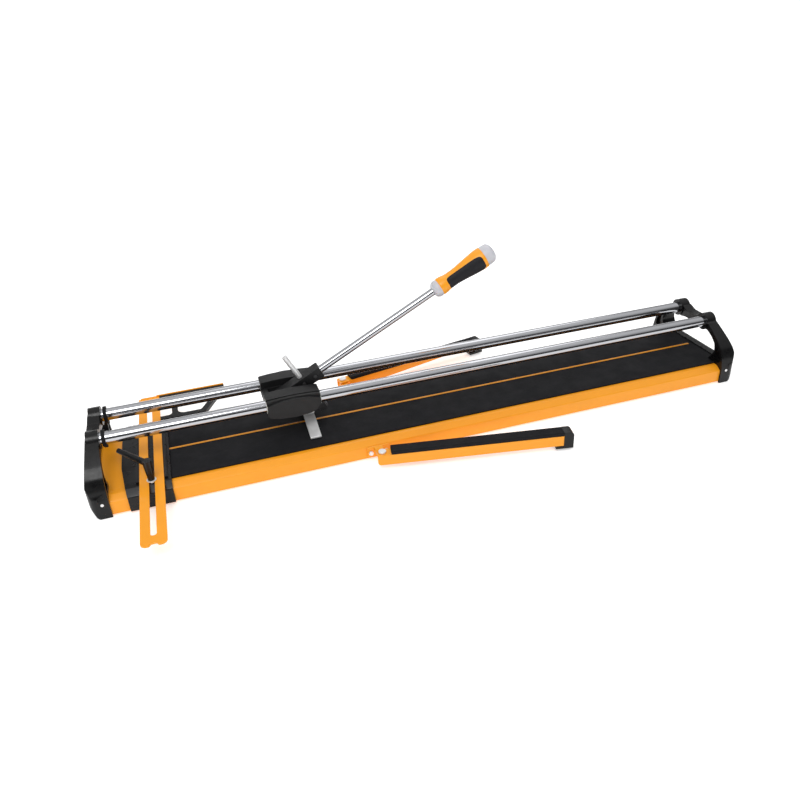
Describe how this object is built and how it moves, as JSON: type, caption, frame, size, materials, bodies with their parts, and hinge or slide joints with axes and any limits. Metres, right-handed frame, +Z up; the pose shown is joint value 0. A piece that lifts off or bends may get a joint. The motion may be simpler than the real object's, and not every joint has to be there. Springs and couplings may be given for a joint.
{
  "type": "tile cutter",
  "caption": "Long manual tile cutter: padded base, chrome rails between arched ends, sliding scoring carriage with a long lever, slotted side fence and folding support arms.",
  "frame": {"origin": "centre of the base's underside, on the floor, at the middle of the centre foot strip", "axes": "+X along the cutter towards the plain end, +Y across towards the fence's stop bar, +Z up"},
  "size_m": [1.248, 0.4921, 0.3269],
  "materials": {
    "orange_paint": "semi-gloss powder coat",
    "ribs_black": "satin paint",
    "black_rubber": "fine matte grain",
    "black_plastic": "satin moulded nylon",
    "housing_grey": "matte moulded nylon",
    "chrome_rails": "polished hard chrome",
    "steel": "zinc plated",
    "carbide": "ground carbide",
    "fork_black": "black oxide",
    "bush_plastic": "acetal",
    "grip_orange": "satin moulding",
    "grip_grey": "satin moulding"
  },
  "bodies": {
    "base": {"side_extrusion_front": "orange_paint", "side_extrusion_rear": "orange_paint", "bed_plate": "orange_paint", "centre_spine": "orange_paint", "foot_rib_left": "ribs_black", "foot_rib_centre": "ribs_black", "foot_rib_right": "ribs_black", "foot_strip_left": "black_rubber", "foot_strip_centre": "black_rubber", "foot_strip_right": "black_rubber", "pad_front": "black_rubber", "pad_rear": "black_rubber", "break_strip": "orange_paint", "rail_front": "chrome_rails", "rail_rear": "chrome_rails", "bumper_rings": "black_rubber", "end_bracket_left": "black_plastic", "end_bracket_right": "black_plastic", "bracket_screws": "steel", "fence_base": "black_plastic", "lock_stud": "steel", "arm_lug_front": "orange_paint", "arm_lug_rear": "orange_paint", "arm_bolt_front": "steel", "arm_bolt_rear": "steel", "lug_screws": "steel"},
    "carriage": {"housing_front": "housing_grey", "housing_rear": "housing_grey", "carriage_bridge": "housing_grey", "slide_bushes": "bush_plastic", "lever_pin": "steel"},
    "lever": {"lever_sleeve": "housing_grey", "lever_rod": "chrome_rails", "grip_ferrule": "grip_grey", "grip_body": "grip_orange", "grip_cap": "grip_grey", "clamp_screws": "fork_black"},
    "post": {"wheel_post": "steel", "wheel_fork": "fork_black", "wheel_axle": "fork_black"},
    "wheel": {"scoring_wheel": "carbide"},
    "foot": {"breaker_foot": "steel", "foot_links": "steel"},
    "fence": {"ruler": "orange_paint", "gauge_frame": "black_plastic", "fence_bar": "orange_paint", "fence_rivets": "steel"},
    "lock": {"lock_washer": "steel", "lock_lever": "black_plastic"},
    "front_arm": {"arm_channel_front": "orange_paint", "arm_rubber_front": "black_rubber", "arm_cap_front": "black_plastic"},
    "rear_arm": {"arm_channel_rear": "orange_paint", "arm_rubber_rear": "black_rubber", "arm_cap_rear": "black_plastic"}
  },
  "joints": [
    {"name": "carriage_slide", "type": "slide", "parent": "base", "child": "carriage", "axis": [1, 0, 0], "range_m": [-0.205, 0.79]},
    {"name": "lever_lift", "type": "hinge", "parent": "carriage", "child": "lever", "pos_m": [-0.286, 0, 0.097], "axis": [0, -1, 0], "range_deg": [0, 55]},
    {"name": "post_adjust", "type": "slide", "parent": "lever", "child": "post", "axis": [0.4571, 0, -0.8894], "range_m": [0, 0.012]},
    {"name": "wheel_spin", "type": "hinge", "parent": "post", "child": "wheel", "pos_m": [-0.20648, 0, 0.06478], "axis": [0, 1, 0], "continuous": true},
    {"name": "foot_lift", "type": "hinge", "parent": "carriage", "child": "foot", "pos_m": [-0.286, 0, 0.097], "axis": [0, -1, 0], "range_deg": [0, 5]},
    {"name": "fence_slide", "type": "slide", "parent": "base", "child": "fence", "axis": [0, 1, 0], "range_m": [-0.02, 0.14]},
    {"name": "lock_turn", "type": "hinge", "parent": "base", "child": "lock", "pos_m": [-0.521, -0.1, 0.05], "axis": [0, 0, 1], "range_deg": [0, 85]},
    {"name": "front_arm_swing", "type": "hinge", "parent": "base", "child": "front_arm", "pos_m": [-0.134, -0.145, 0.023], "axis": [0, 0, 1], "range_deg": [-79, 11]},
    {"name": "rear_arm_swing", "type": "hinge", "parent": "base", "child": "rear_arm", "pos_m": [-0.134, 0.145, 0.023], "axis": [0, 0, -1], "range_deg": [-79, 11]}
  ]
}
